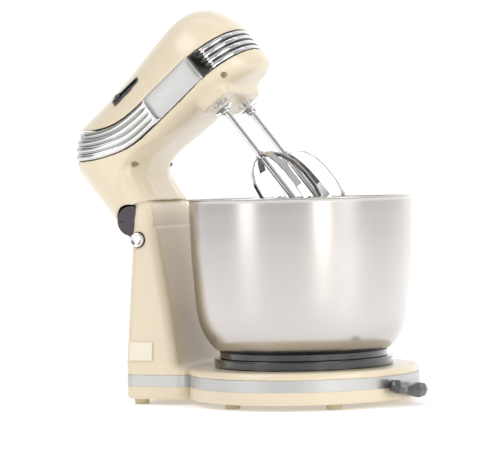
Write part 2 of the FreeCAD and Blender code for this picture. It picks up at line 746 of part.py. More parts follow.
def make_motor_cradle():
    """Two saddles that hold the stator on the neck bracket's flange."""
    saddles = []
    for x in (-121.0, -101.0):
        block = box(x, x + 5, -20, 20, 200.0, 212.0)
        saddles.append(block.cut(cyl(25.05, 20, x - 5, 0, MOTOR_Z, AXIS)))
    return Part.makeCompound(saddles)


def make_brush_holders():
    holders = []
    for side in (-1, 1):
        sleeve = box(-143, -135, 11.0, 24.0, MOTOR_Z - 4, MOTOR_Z + 4).cut(
            box(-141, -137, 10.0, 23.0, MOTOR_Z - 2.2, MOTOR_Z + 2.2))
        arm = box(-136.5, -124.0, 20.5, 23.8, MOTOR_Z - 3.8, MOTOR_Z + 3.8)
        body = fuse(sleeve, arm)
        holders.append(body if side > 0 else mirror_y(body))
    return Part.makeCompound(holders)


def make_brushes():
    brushes = []
    for side in (-1, 1):
        block = box(-140.9, -137.1, 9.5, 20.0, MOTOR_Z - 2.1, MOTOR_Z + 2.1)
        brushes.append(block if side > 0 else mirror_y(block))
    return Part.makeCompound(brushes)


def make_neck_bracket(room):
    """Hinge barrel, web up the rear of the hood and stepped flange under the motor."""
    axis = V(0, 1, 0)
    barrel = cyl(BARREL_R, 2 * BARREL_HALF, PIVOT_X, -BARREL_HALF, PIVOT_Z, axis)
    web = box(-160.0, -152.0, -27.5, 27.5, PIVOT_Z, 195.5)
    low = box(-156.0, -131.0, -24, 24, 192.0, 195.5)
    riser = box(-134.0, -131.0, -24, 24, 192.0, 200.0)
    high = box(-134.0, -92.0, -24, 24, 197.0, 200.0)
    lugs = both_sides(box(-115.8, -108.0, 18.0, 32.0, 197.0, 203.0))
    flange = fuse(low, riser, high).fuse(lugs).common(room).cut(screw_bores())
    body = barrel.fuse([web, flange])
    for side in (-1, 1):
        y = side * ARM_Y
        body = body.cut(cyl(BARREL_R + 0.2, ARM_T + 1.6, PIVOT_X, y - ARM_T / 2 - 0.8, PIVOT_Z, axis))
        keep = web.common(box(-170, -140, y - ARM_T, y + ARM_T, PIVOT_Z, 195.5))
        keep = keep.cut(cyl(9.0, 80, PIVOT_X, -40, PIVOT_Z, axis))
        body = body.fuse(keep)
    bore = cyl(PIN_R + RUNNING, 2 * PIN_HALF + 1, PIVOT_X, -PIN_HALF - 0.5, PIVOT_Z, axis)
    dimple = cyl(1.2, 1.0, PIVOT_X - 7.0, -BARREL_HALF, PIVOT_Z + 5.0, axis)
    return body.cut(bore).cut(dimple)


def make_armature_shaft():
    return cyl(3.0, 165.0, -154.0, 0, MOTOR_Z, AXIS)


def make_armature_core():
    core = tube(14.6, 3.0, 30.0, -124, 0, MOTOR_Z, AXIS)
    for k in range(12):
        slot = box(-125, -93, -0.9, 0.9, 10.5, 15.5)
        slot.rotate(V(0, 0, 0), AXIS, 30 * k)
        slot.translate(V(0, 0, MOTOR_Z))
        core = core.cut(slot)
    return core


def make_armature_windings():
    ends = [tube(13.0, 3.0, 5.0, -129.2, 0, MOTOR_Z, AXIS), tube(13.0, 3.0, 5.0, -93.8, 0, MOTOR_Z, AXIS)]
    return Part.makeCompound(ends)


def make_commutator():
    ring = tube(9.2, 3.0, 12.0, -145, 0, MOTOR_Z, AXIS)
    for k in range(12):
        slot = box(-146, -132, -0.3, 0.3, 7.8, 10)
        slot.rotate(V(0, 0, 0), AXIS, 30 * k + 15)
        slot.translate(V(0, 0, MOTOR_Z))
        ring = ring.cut(slot)
    return ring


def make_fan():
    """Cooling fan: hub, back plate and nine straight blades."""
    hub = tube(6.5, 3.0, 12.0, -82, 0, MOTOR_Z, AXIS)
    plate = tube(24.0, 3.0, 1.6, -82, 0, MOTOR_Z, AXIS)
    blades = []
    for k in range(9):
        blade = box(-81, -70, -0.8, 0.8, 6.0, 23.6)
        blade.rotate(V(0, 0, 0), AXIS, 40 * k)
        blade.translate(V(0, 0, MOTOR_Z))
        blades.append(blade)
    return fuse(hub, plate, *blades)


def make_worm():
    """Worm cut at the front of the armature shaft."""
    core = tube(5.8, 3.0, 42.0, -38.5, 0, MOTOR_Z, AXIS)
    pitch = 3.4
    helix = Part.makeHelix(pitch, 36.0, 5.6)
    profile = Part.makePolygon([V(5.4, 0, -1.1), V(8.0, 0, -0.45), V(8.0, 0, 0.45), V(5.4, 0, 1.1), V(5.4, 0, -1.1)])
    thread = Part.Wire(helix).makePipeShell([profile], True, True)
    thread.rotate(V(0, 0, 0), V(0, 1, 0), 90)
    thread.translate(V(-35.5, 0, MOTOR_Z))
    return core.fuse(thread)


def make_wheel(x, y):
    """Worm wheel with slanted teeth."""
    low = MOTOR_Z - 5.0
    hub = tube(9.0, 6.0, 14.0, x, y, MOTOR_Z - 7.0)
    rim = tube(WHEEL_R - 2.2, 6.0, 10.0, x, y, low)
    teeth = []
    for k in range(WHEEL_TEETH):
        tooth = box(WHEEL_R - 3.0, WHEEL_R - 0.15, -0.75, 0.75, 0, 10.0)
        tooth.rotate(V(0, 0, 0), V(0, 0, 1), 360.0 * k / WHEEL_TEETH)
        tooth.translate(V(x, y, low))
        teeth.append(tooth)
    return rim.fuse(teeth + [hub]).removeSplitter()


def make_spindle(x, y):
    """Hollow spindle with a collar above its lower bush."""
    body = cyl(6.0, 54.0, x, y, 188.6)
    collar = cyl(8.6, 3.0, x, y, 205.0)
    body = fuse(body, collar)
    return body.cut(cyl(2.55, 40.0, x, y, 188.0))


def make_beater_shaft(x, y):
    shaft = cyl(2.5, 168.0 - 1.0, x, y, BEATER_LOW + 3.0)
    neck = cyl(4.0, 6.0, x, y, BEATER_LOW)
    for k in range(2):
        ear = box(-3.9, 3.9, -0.7, 0.7, 0, 4.0)
        ear.rotate(V(0, 0, 0), V(0, 0, 1), 90 * k)
        ear.translate(V(x, y, 181.0))
        shaft = shaft.fuse(ear)
    return fuse(shaft, neck).cut(box(-200, 200, -200, 200, 226.5, 300))


def make_beater_collar(x, y):
    dish = fuse(cyl(9.2, 1.4, x, y, 185.2), cyl(5.0, 3.0, x, y, 182.4))
    return dish.cut(make_beater_shaft(x, y))


def make_beater_blades(x, y, turn):
    """Two crossed flat loops that meet at the hub and above the middle."""
    top, low = 128.0, BEATER_LOW + 1.0
    side = [(3.4, top), (10.0, top - 2.6), (17.0, top - 9.0), (22.4, top - 20.0), (BEATER_R, top - 33.0),
            (BEATER_R, low + 22.0), (22.4, low + 10.0), (16.0, low + 3.2), (8.0, low + 0.2), (3.4, low)]
    wide, thick = 5.6, 1.1
    strips = []
    for k in range(4):
        ring = [V(r, -wide / 2, z) for r, z in side]
        inner = [V(r - thick if 3.5 < r else r, -wide / 2, z - thick * slope(side, i))
                 for i, (r, z) in enumerate(side)]
        face = Part.Face(Part.makePolygon(ring + inner[::-1] + ring[:1]))
        strip = face.extrude(V(0, wide, 0))
        strip.rotate(V(0, 0, 0), V(0, 0, 1), 90 * k + turn)
        strip.translate(V(x, y, 0))
        strips.append(strip)
    cap = tube(4.4, 2.5, 5.0, x, y, top - 3.2)
    body = strips[0].fuse(strips[1:] + [cap])
    return body.cut(cyl(2.5, 100, x, y, 60)).cut(cyl(4.0, 6.0, x, y, BEATER_LOW))


def slope(side, i):
    """How far a strip's wall leans at point i: 1 at the top, -1 at the bottom."""
    prev = side[max(i - 1, 0)]
    after = side[min(i + 1, len(side) - 1)]
    run, rise = after[0] - prev[0], after[1] - prev[1]
    return run / math.hypot(run, rise)


# ---------------------------------------------------------------------------
# Head: speed slider, drawn closed
# ---------------------------------------------------------------------------
def make_slot_bezel():
    ring = obround(34.4, 9.0, -2.0, 2.5).cut(obround(31, 6.0, -5, 12))
    return slider_frame(ring)


def make_speed_knob():
    """Ridged thumb piece with a stem through the slot, at the rear end."""
    cap = box(-3.4, 3.4, -2.7, 2.7, -0.4, 2.6)
    cap = cap.makeFillet(0.7, [e for e in cap.Edges if e.CenterOfMass.z > 2.5])
    ridge = box(-0.7, 0.7, -2.3, 2.3, 2.4, 3.6)
    stem = box(-2.6, 2.6, -1.7, 1.7, -6.5, 0.2)
    body = fuse(cap, ridge, stem)
    body.translate(V(-KNOB_TRAVEL / 2, 0, 0))
    return slider_frame(body)


def make_switch_wiper():
    """Contact carriage on the inner end of the knob's stem."""
    plate = box(-5.5, 5.5, -5.0, 5.0, -8.3, -6.5)
    plate.translate(V(-KNOB_TRAVEL / 2, 0, 0))
    return slider_frame(plate)


def make_switch_body():
    """Multi-position switch under the slot."""
    board = box(-21, 21, -7, 7, -11.6, -9.0)
    tabs = [box(x - 2, x + 2, -5, 5, -13.4, -11.6) for x in (-15, -5, 5, 15)]
    return slider_frame(fuse(board, *tabs))


# ---------------------------------------------------------------------------
# Build and write
# ---------------------------------------------------------------------------


def opened(shape):
    """Turn a piece of the head from closed to its open rest position."""
    shape = shape.copy()
    shape.rotate(V(PIVOT_X, 0, PIVOT_Z), V(0, 1, 0), -OPEN_ANGLE)
    return shape


def main():
    os.makedirs("parts", exist_ok=True)
    outer = head_form(0)
    inner = head_form(HEAD_WALL)
    room = head_form(HEAD_WALL + 0.3)
    lower, upper, front, rear, near, far = make_head_shells(outer, inner)
    lower = finish_lower(lower, head_form(0.6))
    slot_hole = slider_frame(obround(31, 6.2, -12, 30).fuse(obround(34.6, 9.2, -2.0, 30)))
    upper = upper.cut(slot_hole)

    shell = make_base_shell()
    fixed = {
        "base_bottom_cover": make_bottom_cover(),
        "base_feet": make_feet(),
        "base_screws": make_base_screws(),
        "base_trim_band": make_base_band(),
        "base_and_column_shell": shell,
        "column_badge_plate": make_badge(),
        "cord_inlet": make_cord_inlet(),
        "hinge_bracket": make_hinge_bracket(),
        "hinge_pin": make_hinge_pin(),
        "spring_stop": make_spring_stop().cut(shell),
        "release_button": make_button(),
        "latch_bar": make_latch(),
        "release_spring": coil(3.6, 0.5, 2.6, 14.8, BUTTON_X + 0.6, -19.85, BUTTON_Z),
        "bowl_platform": make_platform(),
        "platform_grip_band": make_grip_band(),
        "platform_retainer": make_retainer(),
        "retainer_screws": make_retainer_screws(),
        "shift_lever_arm": make_lever_arm(),
        "shift_lever_handle": make_lever_handle(),
        "bowl": make_bowl(),
        "bowl_foot_ring": make_bowl_foot(),
    }
    moving = {
        "head_lower_housing": lower,
        "head_upper_housing": upper,
        "head_trim_front": front,
        "head_trim_rear": rear,
        "head_trim_panel_near": near,
        "head_trim_panel_far": far,
        "housing_screws": make_housing_screws(),
        "neck_bracket": make_neck_bracket(room),
        "gear_frame": make_gear_frame(room),
        "spindle_bushes": make_spindle_bushes(),
        "shaft_bushes": make_shaft_bushes(),
        "rear_bearing_arm": make_rear_bearing_arm(),
        "motor_cradle": make_motor_cradle(),
        "motor_stator": make_stator(),
        "field_coils": make_field_coils(),
        "brush_holders": make_brush_holders(),
        "carbon_brushes": make_brushes(),
        "armature_shaft": make_armature_shaft(),
        "armature_core": make_armature_core(),
        "armature_windings": make_armature_windings(),
        "commutator": make_commutator(),
        "cooling_fan": make_fan(),
        "worm": make_worm(),
        "speed_slot_bezel": make_slot_bezel(),
        "speed_knob": make_speed_knob(),
        "switch_wiper": make_switch_wiper(),
        "speed_switch": make_switch_body(),
    }
    for label, (x, y) in zip(("near", "far"), spindle_places()):
        moving["worm_wheel_" + label] = make_wheel(x, y)
        moving["spindle_" + label] = make_spindle(x, y)
        moving["beater_shaft_" + label] = make_beater_shaft(x, y)
        moving["beater_collar_" + label] = make_beater_collar(x, y)
        moving["beater_blades_" + label] = make_beater_blades(x, y, 45 if y < 0 else 0)

    for name, shape in moving.items():
        fixed[name] = opened(shape)
    for name, shape in fixed.items():
        placed = shape.copy()
        placed.translate(V(BOWL_X, 0, 0))
        placed.exportStep("parts/%s.step" % name)
        b = placed.BoundBox
        print("%-24s solids %d valid %s vol %8.0f  x %.1f %.1f y %.1f %.1f z %.1f %.1f" % (
            name, len(placed.Solids), placed.isValid(), placed.Volume,
            b.XMin, b.XMax, b.YMin, b.YMax, b.ZMin, b.ZMax))


main()
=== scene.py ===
import json
import math

import bmesh
import bpy
import numpy as np
from mathutils import Matrix, Vector


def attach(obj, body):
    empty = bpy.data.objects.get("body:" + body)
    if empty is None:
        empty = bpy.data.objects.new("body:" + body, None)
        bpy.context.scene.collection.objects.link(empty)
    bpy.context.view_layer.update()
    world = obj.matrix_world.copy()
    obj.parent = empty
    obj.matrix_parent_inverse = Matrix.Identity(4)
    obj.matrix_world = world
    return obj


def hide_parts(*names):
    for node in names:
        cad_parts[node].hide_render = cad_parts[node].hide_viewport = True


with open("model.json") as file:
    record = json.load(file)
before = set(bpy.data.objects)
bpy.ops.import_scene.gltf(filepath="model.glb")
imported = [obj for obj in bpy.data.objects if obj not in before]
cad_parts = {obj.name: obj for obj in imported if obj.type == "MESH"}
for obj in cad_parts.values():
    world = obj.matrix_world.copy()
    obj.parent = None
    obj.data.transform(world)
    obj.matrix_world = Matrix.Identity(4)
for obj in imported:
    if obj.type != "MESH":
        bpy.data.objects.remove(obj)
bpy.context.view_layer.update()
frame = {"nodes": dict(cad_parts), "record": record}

nodes = frame["nodes"]

# Places that the CAD also uses, in metres: the bowl's axis and the hinge.
BOWL_X = 0.049
PIVOT = Vector((BOWL_X - 0.1475, 0.0, 0.1622))
OPEN = math.radians(39.0)
CLOSED_TO_OPEN = (Matrix.Translation(PIVOT) @ Matrix.Rotation(-OPEN, 4, "Y")
                  @ Matrix.Translation(-PIVOT))


# ---------------------------------------------------------------------------
# Camera
# ---------------------------------------------------------------------------
CAMERA_AZIMUTH = math.radians(23.0)
CAMERA_DISTANCE = 2.210
CAMERA_HEIGHT = 0.1967
CAMERA_PITCH = math.radians(1.324)
CAMERA_ROLL = math.radians(1.335)
CAMERA_YAW = math.radians(1.16602)
LENS = 180.763
SENSOR = 36.0


def make_camera():
    """Long lens at about rim height, a little towards the front."""
    azimuth, distance = CAMERA_AZIMUTH, CAMERA_DISTANCE
    pitch, roll = CAMERA_PITCH, CAMERA_ROLL
    forward = Vector((-math.sin(azimuth), math.cos(azimuth), 0.0))
    forward.rotate(Matrix.Rotation(CAMERA_YAW, 3, "Z"))
    right = forward.cross(Vector((0, 0, 1))).normalized()
    ahead = (forward * math.cos(pitch) - Vector((0, 0, 1)) * math.sin(pitch)).normalized()
    up = right.cross(ahead)
    turned_right = right * math.cos(roll) - up * math.sin(roll)
    turned_up = up * math.cos(roll) + right * math.sin(roll)
    data = bpy.data.cameras.new("camera")
    camera = bpy.data.objects.new("camera", data)
    bpy.context.scene.collection.objects.link(camera)
    spin = Matrix((turned_right, turned_up, -ahead)).transposed().to_4x4()
    place = Vector((BOWL_X + distance * math.sin(azimuth), -distance * math.cos(azimuth),
                    CAMERA_HEIGHT))
    camera.matrix_world = Matrix.Translation(place) @ spin
    data.lens = LENS
    data.sensor_width = SENSOR
    data.clip_start = 0.05
    data.clip_end = 50.0
    bpy.context.scene.camera = camera


# ---------------------------------------------------------------------------
# Studio
# ---------------------------------------------------------------------------
def area_light(name, place, target, width, depth, power, tint=(1.0, 1.0, 1.0)):
    data = bpy.data.lights.new(name, "AREA")
    data.shape = "RECTANGLE"
    data.size = width
    data.size_y = depth
    data.energy = power
    data.color = tint
    lamp = bpy.data.objects.new(name, data)
    bpy.context.scene.collection.objects.link(lamp)
    lamp.location = place
    lamp.rotation_mode = "QUATERNION"
    lamp.rotation_quaternion = (Vector(target) - Vector(place)).to_track_quat("-Z", "Y")


def make_world():
    world = bpy.data.worlds.new("studio")
    bpy.context.scene.world = world
    world.use_nodes = True
    tree = world.node_tree
    tree.nodes.clear()
    out = tree.nodes.new("ShaderNodeOutputWorld")
    background = tree.nodes.new("ShaderNodeBackground")
    ramp = tree.nodes.new("ShaderNodeValToRGB")
    split = tree.nodes.new("ShaderNodeSeparateXYZ")
    coords = tree.nodes.new("ShaderNodeTexCoord")
    tree.links.new(coords.outputs["Generated"], split.inputs[0])
    tree.links.new(split.outputs["Z"], ramp.inputs["Fac"])
    tree.links.new(ramp.outputs["Color"], background.inputs["Color"])
    tree.links.new(background.outputs[0], out.inputs[0])
    background.inputs["Strength"].default_value = 0.62
    steps = ramp.color_ramp.elements
    steps[0].position = 0.0
    steps[0].color = (0.95, 0.95, 0.95, 1)
    steps[1].position = 1.0
    steps[1].color = (1.0, 1.0, 1.0, 1)
    for place, level in ((0.22, 0.9), (0.30, 0.12), (0.42, 0.10), (0.52, 0.95)):
        step = steps.new(place)
        step.color = (level, level, level * 1.01, 1)


FLOOR_REACH = 40.0
BACKDROP_Y = 2.2
BACKDROP_CURVE = 1.2
BACKDROP_TOP = 6.0


def make_floor():
    """Pale floor that sweeps up into a pale backdrop far behind."""
    mesh = bpy.data.meshes.new("floor")
    made = bmesh.new()
    rows = []
    profile = [(-FLOOR_REACH, 0.0), (BACKDROP_Y, 0.0)]
    for k in range(1, 9):
        a = math.radians(90 * k / 8)
        profile.append((BACKDROP_Y + BACKDROP_CURVE * math.sin(a),
                        BACKDROP_CURVE - BACKDROP_CURVE * math.cos(a)))
    profile.append((BACKDROP_Y + BACKDROP_CURVE, BACKDROP_TOP))
    for y, z in profile:
        rows.append([made.verts.new((x, y, z)) for x in (-FLOOR_REACH, FLOOR_REACH)])
    for a, b in zip(rows, rows[1:]):
        made.faces.new((a[0], a[1], b[1], b[0]))
    made.to_mesh(mesh)
    made.free()
    for face in mesh.polygons:
        face.use_smooth = True
    floor = bpy.data.objects.new("floor", mesh)
    bpy.context.scene.collection.objects.link(floor)
    floor.data.materials.append(plain_white())


def plain_white():
    material = bpy.data.materials.new("pale_floor")
    material.use_nodes = True
    shader = material.node_tree.nodes["Principled BSDF"]
    shader.inputs["Base Color"].default_value = (0.93, 0.93, 0.93, 1)
    shader.inputs["Roughness"].default_value = 0.6
    shader.inputs["Emission Color"].default_value = (1, 1, 1, 1)
    shader.inputs["Emission Strength"].default_value = 0.25
    return material


# ---------------------------------------------------------------------------
# Materials
# ---------------------------------------------------------------------------
def surface(name, colour, roughness, metallic=0.0, shade=None, grain=900.0, bump=0.02,
            stretch=(1, 1, 1), spread=0.05, coat=0.0, anisotropic=0.0, coat_rough=0.22):
    """Principled surface with a faint colour drift, roughness drift and grain bump."""
    material = bpy.data.materials.new(name)
    material.use_nodes = True
    tree = material.node_tree
    shader = tree.nodes["Principled BSDF"]
    shader.inputs["Metallic"].default_value = metallic
    shader.inputs["Coat Weight"].default_value = coat
    shader.inputs["Coat Roughness"].default_value = coat_rough
    shader.inputs["Anisotropic"].default_value = anisotropic
    coords = tree.nodes.new("ShaderNodeTexCoord")
    mapping = tree.nodes.new("ShaderNodeMapping")
    mapping.inputs["Scale"].default_value = stretch
    tree.links.new(coords.outputs["Object"], mapping.inputs["Vector"])
    drift = tree.nodes.new("ShaderNodeTexNoise")
    drift.inputs["Scale"].default_value = 8.0
    drift.inputs["Detail"].default_value = 3.0
    tree.links.new(mapping.outputs[0], drift.inputs["Vector"])
    mix = tree.nodes.new("ShaderNodeMix")
    mix.data_type = "RGBA"
    other = shade or tuple(c * 0.93 for c in colour)
    mix.inputs["A"].default_value = (*colour, 1)
    mix.inputs["B"].default_value = (*other, 1)
    tree.links.new(drift.outputs["Fac"], mix.inputs["Factor"])
    tree.links.new(mix.outputs["Result"], shader.inputs["Base Color"])
    rough = tree.nodes.new("ShaderNodeMapRange")
    rough.inputs["To Min"].default_value = max(0.02, roughness - spread)
    rough.inputs["To Max"].default_value = roughness + spread
    fine = tree.nodes.new("ShaderNodeTexNoise")
    fine.inputs["Scale"].default_value = grain
    fine.inputs["Detail"].default_value = 4.0
    tree.links.new(mapping.outputs[0], fine.inputs["Vector"])
    tree.links.new(fine.outputs["Fac"], rough.inputs["Value"])
    tree.links.new(rough.outputs["Result"], shader.inputs["Roughness"])
    if bump:
        relief = tree.nodes.new("ShaderNodeBump")
        relief.inputs["Strength"].default_value = bump
        relief.inputs["Distance"].default_value = 0.0004
        tree.links.new(fine.outputs["Fac"], relief.inputs["Height"])
        tree.links.new(relief.outputs["Normal"], shader.inputs["Normal"])
    return material


CREAM = surface("cream_moulding", (0.775, 0.675, 0.505), 0.42, shade=(0.75, 0.645, 0.475),
                coat=0.7)
BLACK = surface("black_moulding", (0.014, 0.015, 0.017), 0.26, grain=1400, bump=0.05, coat=0.9,
                coat_rough=0.07)
HINGE = surface("hinge_moulding", (0.05, 0.038, 0.052), 0.30, grain=1100, bump=0.05)
PLATED = {"metallic": 1.0, "grain": 300, "bump": 0.004, "spread": 0.02}
CHROME = surface("chrome", (0.80, 0.80, 0.81), 0.09, **PLATED)
# Painted shade: the two darker chromes below go on the trim's groove faces in place of shadow and
# dark reflection.
GROOVE_SHADE_CHROME = surface("chrome_painted_groove_shade", (0.11, 0.11, 0.10), 0.16, **PLATED)
REAR_GROOVE_SHADE = surface("satin_painted_groove_shade", (0.42, 0.42, 0.41), 0.22, **PLATED)
SATIN = surface("satin_chrome", (0.70, 0.70, 0.69), 0.20, **PLATED)
BRUSHED = surface("brushed_band", (0.60, 0.60, 0.59), 0.36, metallic=0.85, grain=700, bump=0.05,
                  stretch=(0.04, 0.04, 1.0), anisotropic=0.4)
BOWL = surface("bowl_steel", (0.63, 0.605, 0.585), 0.24, metallic=1.0, grain=420, bump=0.004,
               stretch=(0.1, 0.1, 2.0), spread=0.015)
BEATER = surface("beater_steel", (0.72, 0.72, 0.73), 0.16, metallic=1.0, grain=500, bump=0.02)
# Painted shade: the screw heads are a dark beige-brown standing in for the shadow in their recesses,
# not a metal colour.
SCREW_HEAD_SHADE = surface("screw_painted_recess_shade", (0.36, 0.28, 0.17), 0.5, metallic=0.3, bump=0.1)
PLATE = surface("pale_plate", (0.86, 0.79, 0.66), 0.3, bump=0.02, coat=0.3)
ZINC = surface("zinc_steel", (0.55, 0.55, 0.54), 0.35, metallic=1.0, bump=0.05)
RUBBER = surface("rubber", (0.62, 0.53, 0.38), 0.7, bump=0.15)
CASTING = surface("casting", (0.55, 0.55, 0.56), 0.5, metallic=1.0, bump=0.2)
LAMINATE = surface("lamination", (0.2, 0.2, 0.21), 0.5, metallic=1.0, bump=0.2)
COPPER = surface("copper", (0.65, 0.3, 0.15), 0.35, metallic=1.0, bump=0.2)
BRONZE = surface("bronze", (0.5, 0.34, 0.15), 0.45, metallic=1.0, bump=0.1)
CARBON = surface("carbon", (0.03, 0.03, 0.03), 0.6, bump=0.1)
NYLON = surface("gear_nylon", (0.78, 0.78, 0.74), 0.4, bump=0.03)
INNER = surface("inner_black", (0.035, 0.035, 0.037), 0.5, bump=0.1)
COLLAR = surface("collar_plastic", (0.74, 0.74, 0.75), 0.13, metallic=0.9, bump=0.02)

BY_SLOT = {
    "cream": CREAM, "black": BLACK, "hinge_black": HINGE, "chrome": CHROME, "brushed_band": BRUSHED,
    "bowl_steel": BOWL, "beater_steel": BEATER, "zinc_steel": ZINC, "rubber": RUBBER,
    "casting": CASTING, "lamination": LAMINATE, "copper": COPPER, "bronze": BRONZE,
    "carbon": CARBON, "gear_white": NYLON, "inner_black": INNER, "collar": COLLAR,
}

BY_NODE = {"housing_screws": SCREW_HEAD_SHADE, "column_badge_plate": PLATE}

slot_of = {entry["node"]: entry["material_slot"] for entry in frame["record"]["subparts"]}
for name, obj in nodes.items():
    obj.data.materials.clear()
    obj.data.materials.append(BY_NODE.get(name) or BY_SLOT[slot_of[name]])


# ---------------------------------------------------------------------------
# Mesh helpers
# ---------------------------------------------------------------------------
MM = 0.001


def place_piece(name, made, material, body, replaced, closed=True, smooth=True):
    """Turn millimetre geometry from the bowl's axis into a finished piece of the frame."""
    made.transform(Matrix.Translation((BOWL_X, 0, 0)) @ Matrix.Diagonal((MM, MM, MM, 1)))
    if closed:
        made.transform(CLOSED_TO_OPEN)
    mesh = bpy.data.meshes.new(name)
    made.to_mesh(mesh)
    made.free()
    for face in mesh.polygons:
        face.use_smooth = smooth
    piece = bpy.data.objects.new(name, mesh)
    bpy.context.scene.collection.objects.link(piece)
    mesh.materials.append(material)
    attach(piece, body)
    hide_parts(*replaced)
    return piece


def grid_mesh(rows):
    """Mesh from rows of points of equal length."""
    made = bmesh.new()
    lines = [[made.verts.new(p) for p in row] for row in rows]
    for a, b in zip(lines, lines[1:]):
        for k in range(len(a) - 1):
            made.faces.new((a[k], a[k + 1], b[k + 1], b[k]))
    return made


def weld(made):
    """Join the seams of a turned or lofted mesh and face it outwards."""
    bmesh.ops.remove_doubles(made, verts=made.verts, dist=0.001)
    bmesh.ops.recalc_face_normals(made, faces=made.faces)


def thicken(made, outward, thickness):
    """Merge doubled points, face the sheet outwards, and give it a thickness inwards."""
    bmesh.ops.remove_doubles(made, verts=made.verts, dist=0.02)
    bmesh.ops.dissolve_degenerate(made, dist=0.005, edges=made.edges)
    made.normal_update()
    lean = sum(face.normal.dot(outward(face.calc_center_median())) for face in made.faces)
    if lean < 0:
        bmesh.ops.reverse_faces(made, faces=made.faces)
        made.normal_update()
    bmesh.ops.solidify(made, geom=made.faces[:], thickness=thickness)
    made.normal_update()
    return made


# ---------------------------------------------------------------------------
# Head form, drawn closed in millimetres from the bowl's axis
# ---------------------------------------------------------------------------
PROFILE = [
    (-166.4, 203.0, 233.0), (-164.6, 197.0, 242.0), (-160.0, 192.0, 251.0), (-152.0, 189.0, 259.6),
    (-142.0, 188.0, 265.2), (-130.0, 189.0, 266.8), (-115.0, 193.0, 267.0), (-100.0, 195.6, 267.8),
    (-70.0, 195.4, 270.8), (-40.0, 194.4, 275.2), (-15.0, 193.2, 278.0), (-2.0, 192.6, 277.4),
    (9.0, 192.2, 274.0), (18.0, 192.0, 267.8), (24.5, 192.4, 259.5), (28.8, 193.6, 250.0),
    (31.4, 196.5, 240.5), (32.6, 201.0, 231.0)]
EDGE_LOW = [(-172.0, 250.5), (-155.0, 237.0), (-138.0, 225.0), (-122.0, 217.0), (-108.0, 211.8),
            (-90.0, 209.2), (-50.0, 209.2), (0.0, 209.5), (45.0, 209.5)]
EDGE_HIGH = [(-155.0, 276.0), (-140.0, 261.5), (-124.0, 248.5), (-109.0, 239.8), (-96.0, 235.6),
             (-80.0, 233.6), (-45.0, 233.4), (0.0, 233.2), (45.0, 233.0)]


def smooth_value(table, x):
    """Smooth curve through (x, value) pairs with rising x."""
    last = len(table) - 1
    if x <= table[0][0]:
        (x0, v0), (x1, v1) = table[0], table[1]
        return v0 + (v1 - v0) * (x - x0) / (x1 - x0)
    if x >= table[last][0]:
        (x0, v0), (x1, v1) = table[last - 1], table[last]
        return v1 + (v1 - v0) * (x - x1) / (x1 - x0)
    i = max(k for k in range(last) if table[k][0] <= x)
    x0, v0 = table[i]
    x1, v1 = table[i + 1]
    before = table[i - 1] if i > 0 else (2 * x0 - x1, 2 * v0 - v1)
    after = table[i + 2] if i + 2 <= last else (2 * x1 - x0, 2 * v1 - v0)
    m0 = (v1 - before[1]) / (x1 - before[0]) * (x1 - x0)
    m1 = (after[1] - v0) / (after[0] - x0) * (x1 - x0)
    t = (x - x0) / (x1 - x0)
    return ((2 * t ** 3 - 3 * t ** 2 + 1) * v0 + (t ** 3 - 2 * t ** 2 + t) * m0
            + (3 * t ** 2 - 2 * t ** 3) * v1 + (t ** 3 - t ** 2) * m1)


def profile_at(x):
    """Lowest and highest z of the head at x."""
    low = smooth_value([(p[0], p[1]) for p in PROFILE], x)
    high = smooth_value([(p[0], p[2]) for p in PROFILE], x)
    return low, high


def plan_half(x):
    """Half width of the head's plan at x."""
    if x > -15.0:
        t = min((x + 15.0) / 48.0, 1.0)
        return 50.5 * math.sqrt(max(0.0, 1 - t * t))
    if x < -130.0:
        t = min((-130.0 - x) / 37.0, 1.0)
        return 47.0 * (1 - t ** 2.6) ** (1 / 2.6)
    return 47.0 + 3.5 * (x + 130.0) / 115.0


def middle_of(low, high):
    return min(225.0, low + 0.55 * (high - low))


def half_at(x, z):
    """Half width of the head at x and z."""
    low, high = profile_at(x)
    mid = middle_of(low, high)
    if z >= mid:
        q, p = (z - mid) / (high - mid), 2.0
    else:
        q, p = (mid - z) / (mid - low), 3.4
    if q >= 1:
        return 0.0
    return plan_half(x) * (1 - q ** p) ** (1 / p)


def edge_curve(t):
    """Height of the trim band part way between its edges, as a function of x."""
    def height(x):
        low, high = smooth_value(EDGE_LOW, x), smooth_value(EDGE_HIGH, x)
        return low + (high - low) * t
    return height


def ring_ends(curve):
    """Rear and nose x where a level curve leaves the head."""
    ends = []
    for inside, outside in ((-120.0, -167.5), (0.0, 33.0)):
        for _ in range(50):
            x = (inside + outside) / 2
            if half_at(x, curve(x)) > 0:
                inside = x
            else:
                outside = x
        ends.append(inside)
    return ends


def away_from_head(point):
    """Rough outward direction of the head's skin."""
    return Vector((point.x - max(-130.0, min(-15.0, point.x)), point.y, point.z - 228.0))


# ---------------------------------------------------------------------------
# Head: ribbed trim and plain panels
# ---------------------------------------------------------------------------
PANEL_FRONT = -8.0
PANEL_REAR = -64.0
ACROSS = 40
RIB_DEPTH = 2.1
RIBS = 4
TRIM_SINK = 0.38
TRIM_WALL = 1.2


def band_rows(kind, side=0):
    """Rows of points across the band: front and rear pieces run round their end."""
    rows = []
    for i in range(ACROSS + 1):
        curve = edge_curve(i / ACROSS)
        rear, nose = ring_ends(curve)
        row = []
        if kind == "middle":
            for j in range(15):
                x = PANEL_REAR + (PANEL_FRONT - PANEL_REAR) * j / 14
                row.append((x, side * half_at(x, curve(x)), curve(x)))
        else:
            start, end = (PANEL_FRONT + 0.2, nose) if kind == "front" else (PANEL_REAR - 0.2, rear)
            half_row = []
            for j in range(49):
                x = start + (end - start) * math.sin(math.pi / 2 * j / 48)
                y = 0.0 if j == 48 else half_at(x, curve(x))
                half_row.append((x, y, curve(x)))
            row = half_row + [(x, -y, z) for x, y, z in half_row[-2::-1]]
        rows.append(row)
    return rows


def from_crest(t):
    """0 on a rib's crest and 1 in a groove, t running from the band's lower edge to its upper."""
    return abs(2 * ((RIBS * t) % 1.0) - 1)


